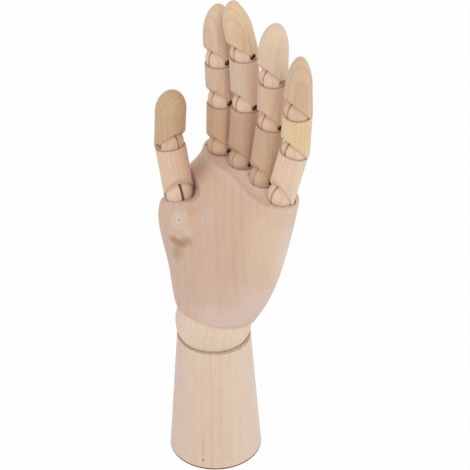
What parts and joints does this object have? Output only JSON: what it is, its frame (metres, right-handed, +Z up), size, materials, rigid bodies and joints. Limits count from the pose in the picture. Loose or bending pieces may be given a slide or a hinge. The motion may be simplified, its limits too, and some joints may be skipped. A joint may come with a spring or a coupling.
{
  "type": "wooden hand mannequin",
  "caption": "Jointed wooden artist's hand on a tapered round foot: spring-held ball joints at the wrist, knuckles and finger joints let it be posed, and it stands on a felt pad.",
  "frame": {"origin": "middle of the foot's underside, where the felt pad rests", "axes": "+Z up along the foot's axis, palm facing -Y, thumb on the -X side"},
  "size_m": [0.0963, 0.0736, 0.2912],
  "materials": {
    "wood_foot": "raw sanded",
    "wood_palm": "raw sanded",
    "wood_ball": "raw sanded",
    "wood_segment": "raw sanded",
    "wood_tip": "raw sanded",
    "steel": "drawn wire",
    "felt": "felt"
  },
  "bodies": {
    "base": {"base_cone": "wood_foot", "base_felt": "felt", "base_washer": "steel"},
    "wrist_link": {"wrist_anchor_bar": "steel", "wrist_spring": "steel"},
    "wrist_ball": {"wrist_ball": "wood_ball", "wrist_pin": "steel"},
    "palm": {"palm": "wood_palm", "palm_wrist_eye": "steel", "palm_springs": "steel"},
    "index_knuckle": {"index_knuckle_ball": "wood_ball", "index_knuckle_pin": "steel"},
    "index_lower": {"index_lower_segment": "wood_segment", "index_lower_spring": "steel", "index_mid_ball": "wood_ball"},
    "index_upper": {"index_upper_segment": "wood_segment", "index_upper_spring": "steel", "index_end_ball": "wood_ball"},
    "index_tip": {"index_tip": "wood_tip", "index_tip_eye": "steel"},
    "middle_knuckle": {"middle_knuckle_ball": "wood_ball", "middle_knuckle_pin": "steel"},
    "middle_lower": {"middle_lower_segment": "wood_segment", "middle_lower_spring": "steel", "middle_mid_ball": "wood_ball"},
    "middle_upper": {"middle_upper_segment": "wood_segment", "middle_upper_spring": "steel", "middle_end_ball": "wood_ball"},
    "middle_tip": {"middle_tip": "wood_tip", "middle_tip_eye": "steel"},
    "ring_knuckle": {"ring_knuckle_ball": "wood_ball", "ring_knuckle_pin": "steel"},
    "ring_lower": {"ring_lower_segment": "wood_segment", "ring_lower_spring": "steel", "ring_mid_ball": "wood_ball"},
    "ring_upper": {"ring_upper_segment": "wood_segment", "ring_upper_spring": "steel", "ring_end_ball": "wood_ball"},
    "ring_tip": {"ring_tip": "wood_tip", "ring_tip_eye": "steel"},
    "little_knuckle": {"little_knuckle_ball": "wood_ball", "little_knuckle_pin": "steel"},
    "little_lower": {"little_lower_segment": "wood_segment", "little_lower_spring": "steel", "little_mid_ball": "wood_ball"},
    "little_upper": {"little_upper_segment": "wood_segment", "little_upper_spring": "steel", "little_end_ball": "wood_ball"},
    "little_tip": {"little_tip": "wood_tip", "little_tip_eye": "steel"},
    "thumb_knuckle": {"thumb_knuckle_ball": "wood_ball", "thumb_knuckle_pin": "steel"},
    "thumb_lower": {"thumb_lower_segment": "wood_segment", "thumb_lower_spring": "steel", "thumb_end_ball": "wood_ball"},
    "thumb_tip": {"thumb_tip": "wood_tip", "thumb_tip_eye": "steel"}
  },
  "joints": [
    {"name": "wrist_turn", "type": "hinge", "parent": "base", "child": "wrist_link", "pos_m": [0, 0, 0.0935], "axis": [0, 0, 1], "range_deg": [-180, 180]},
    {"name": "wrist_tilt", "type": "hinge", "parent": "wrist_link", "child": "wrist_ball", "pos_m": [0, 0, 0.0935], "axis": [0, 1, 0], "range_deg": [-10, 10]},
    {"name": "wrist_flex", "type": "hinge", "parent": "wrist_ball", "child": "palm", "pos_m": [0, 0, 0.0935], "axis": [1, 0, 0], "range_deg": [-16, 44]},
    {"name": "index_splay", "type": "hinge", "parent": "palm", "child": "index_knuckle", "pos_m": [-0.0278, 0.03118, 0.18879], "axis": [0, 0.9703, -0.2419], "range_deg": [-6, 1.5]},
    {"name": "index_knuckle_flex", "type": "hinge", "parent": "index_knuckle", "child": "index_lower", "pos_m": [-0.0278, 0.03118, 0.18879], "axis": [0.9999, -0.003, -0.0119], "range_deg": [-13, 20]},
    {"name": "index_mid_flex", "type": "hinge", "parent": "index_lower", "child": "index_upper", "pos_m": [-0.02743, 0.03172, 0.21968], "axis": [0.9999, -0.003, -0.0119], "range_deg": [-4, 46]},
    {"name": "index_end_flex", "type": "hinge", "parent": "index_upper", "child": "index_tip", "pos_m": [-0.02712, 0.03031, 0.24644], "axis": [0.9999, -0.003, -0.0119], "range_deg": [-1, 49]},
    {"name": "middle_splay", "type": "hinge", "parent": "palm", "child": "middle_knuckle", "pos_m": [-0.0089, 0.03096, 0.18791], "axis": [0, 0.9703, -0.2419], "range_deg": [-1.5, 3]},
    {"name": "middle_knuckle_flex", "type": "hinge", "parent": "middle_knuckle", "child": "middle_lower", "pos_m": [-0.0089, 0.03096, 0.18791], "axis": [0.9996, -0.0072, -0.0288], "range_deg": [-10, 40]},
    {"name": "middle_mid_flex", "type": "hinge", "parent": "middle_lower", "child": "middle_upper", "pos_m": [-0.00784, 0.0335, 0.22421], "axis": [0.9996, -0.0072, -0.0288], "range_deg": [-7.7, 42.3]},
    {"name": "middle_end_flex", "type": "hinge", "parent": "middle_upper", "child": "middle_tip", "pos_m": [-0.0069, 0.03134, 0.25743], "axis": [0.9996, -0.0072, -0.0288], "range_deg": [-10.4, 39.6]},
    {"name": "ring_splay", "type": "hinge", "parent": "palm", "child": "ring_knuckle", "pos_m": [0.0103, 0.03019, 0.18481], "axis": [0, 0.9703, -0.2419], "range_deg": [-1.5, 2]},
    {"name": "ring_knuckle_flex", "type": "hinge", "parent": "ring_knuckle", "child": "ring_lower", "pos_m": [0.0103, 0.03019, 0.18481], "axis": [0.9966, -0.0198, -0.0795], "range_deg": [-7.7, 42.3]},
    {"name": "ring_mid_flex", "type": "hinge", "parent": "ring_lower", "child": "ring_upper", "pos_m": [0.01321, 0.0341, 0.22038], "axis": [0.9966, -0.0198, -0.0795], "range_deg": [-8.2, 41.8]},
    {"name": "ring_end_flex", "type": "hinge", "parent": "ring_upper", "child": "ring_tip", "pos_m": [0.01554, 0.0331, 0.24977], "axis": [0.9966, -0.0198, -0.0795], "range_deg": [-2, 48]},
    {"name": "little_splay", "type": "hinge", "parent": "palm", "child": "little_knuckle", "pos_m": [0.029, 0.0273, 0.18233], "axis": [0, 0.9703, -0.2419], "range_deg": [-1.5, 6]},
    {"name": "little_knuckle_flex", "type": "hinge", "parent": "little_knuckle", "child": "little_lower", "pos_m": [0.029, 0.0273, 0.18233], "axis": [0.9888, -0.0362, -0.1451], "range_deg": [-2, 48]},
    {"name": "little_mid_flex", "type": "hinge", "parent": "little_lower", "child": "little_upper", "pos_m": [0.0335, 0.03348, 0.21145], "axis": [0.9888, -0.0362, -0.1451], "range_deg": [-16, 34]},
    {"name": "little_end_flex", "type": "hinge", "parent": "little_upper", "child": "little_tip", "pos_m": [0.03744, 0.03147, 0.23879], "axis": [0.9888, -0.0362, -0.1451], "range_deg": [-2, 48]},
    {"name": "thumb_splay", "type": "hinge", "parent": "palm", "child": "thumb_knuckle", "pos_m": [-0.0326, 0.00269, 0.16631], "axis": [-0.8848, 0.3885, -0.2571], "range_deg": [-6, 1]},
    {"name": "thumb_knuckle_flex", "type": "hinge", "parent": "thumb_knuckle", "child": "thumb_lower", "pos_m": [-0.0326, 0.00269, 0.16631], "axis": [0.3756, 0.9214, 0.0997], "range_deg": [-6, 44]},
    {"name": "thumb_end_flex", "type": "hinge", "parent": "thumb_lower", "child": "thumb_tip", "pos_m": [-0.03848, 0.00165, 0.19815], "axis": [-0.0265, 0.9993, 0.0279], "range_deg": [-16, 34]}
  ]
}
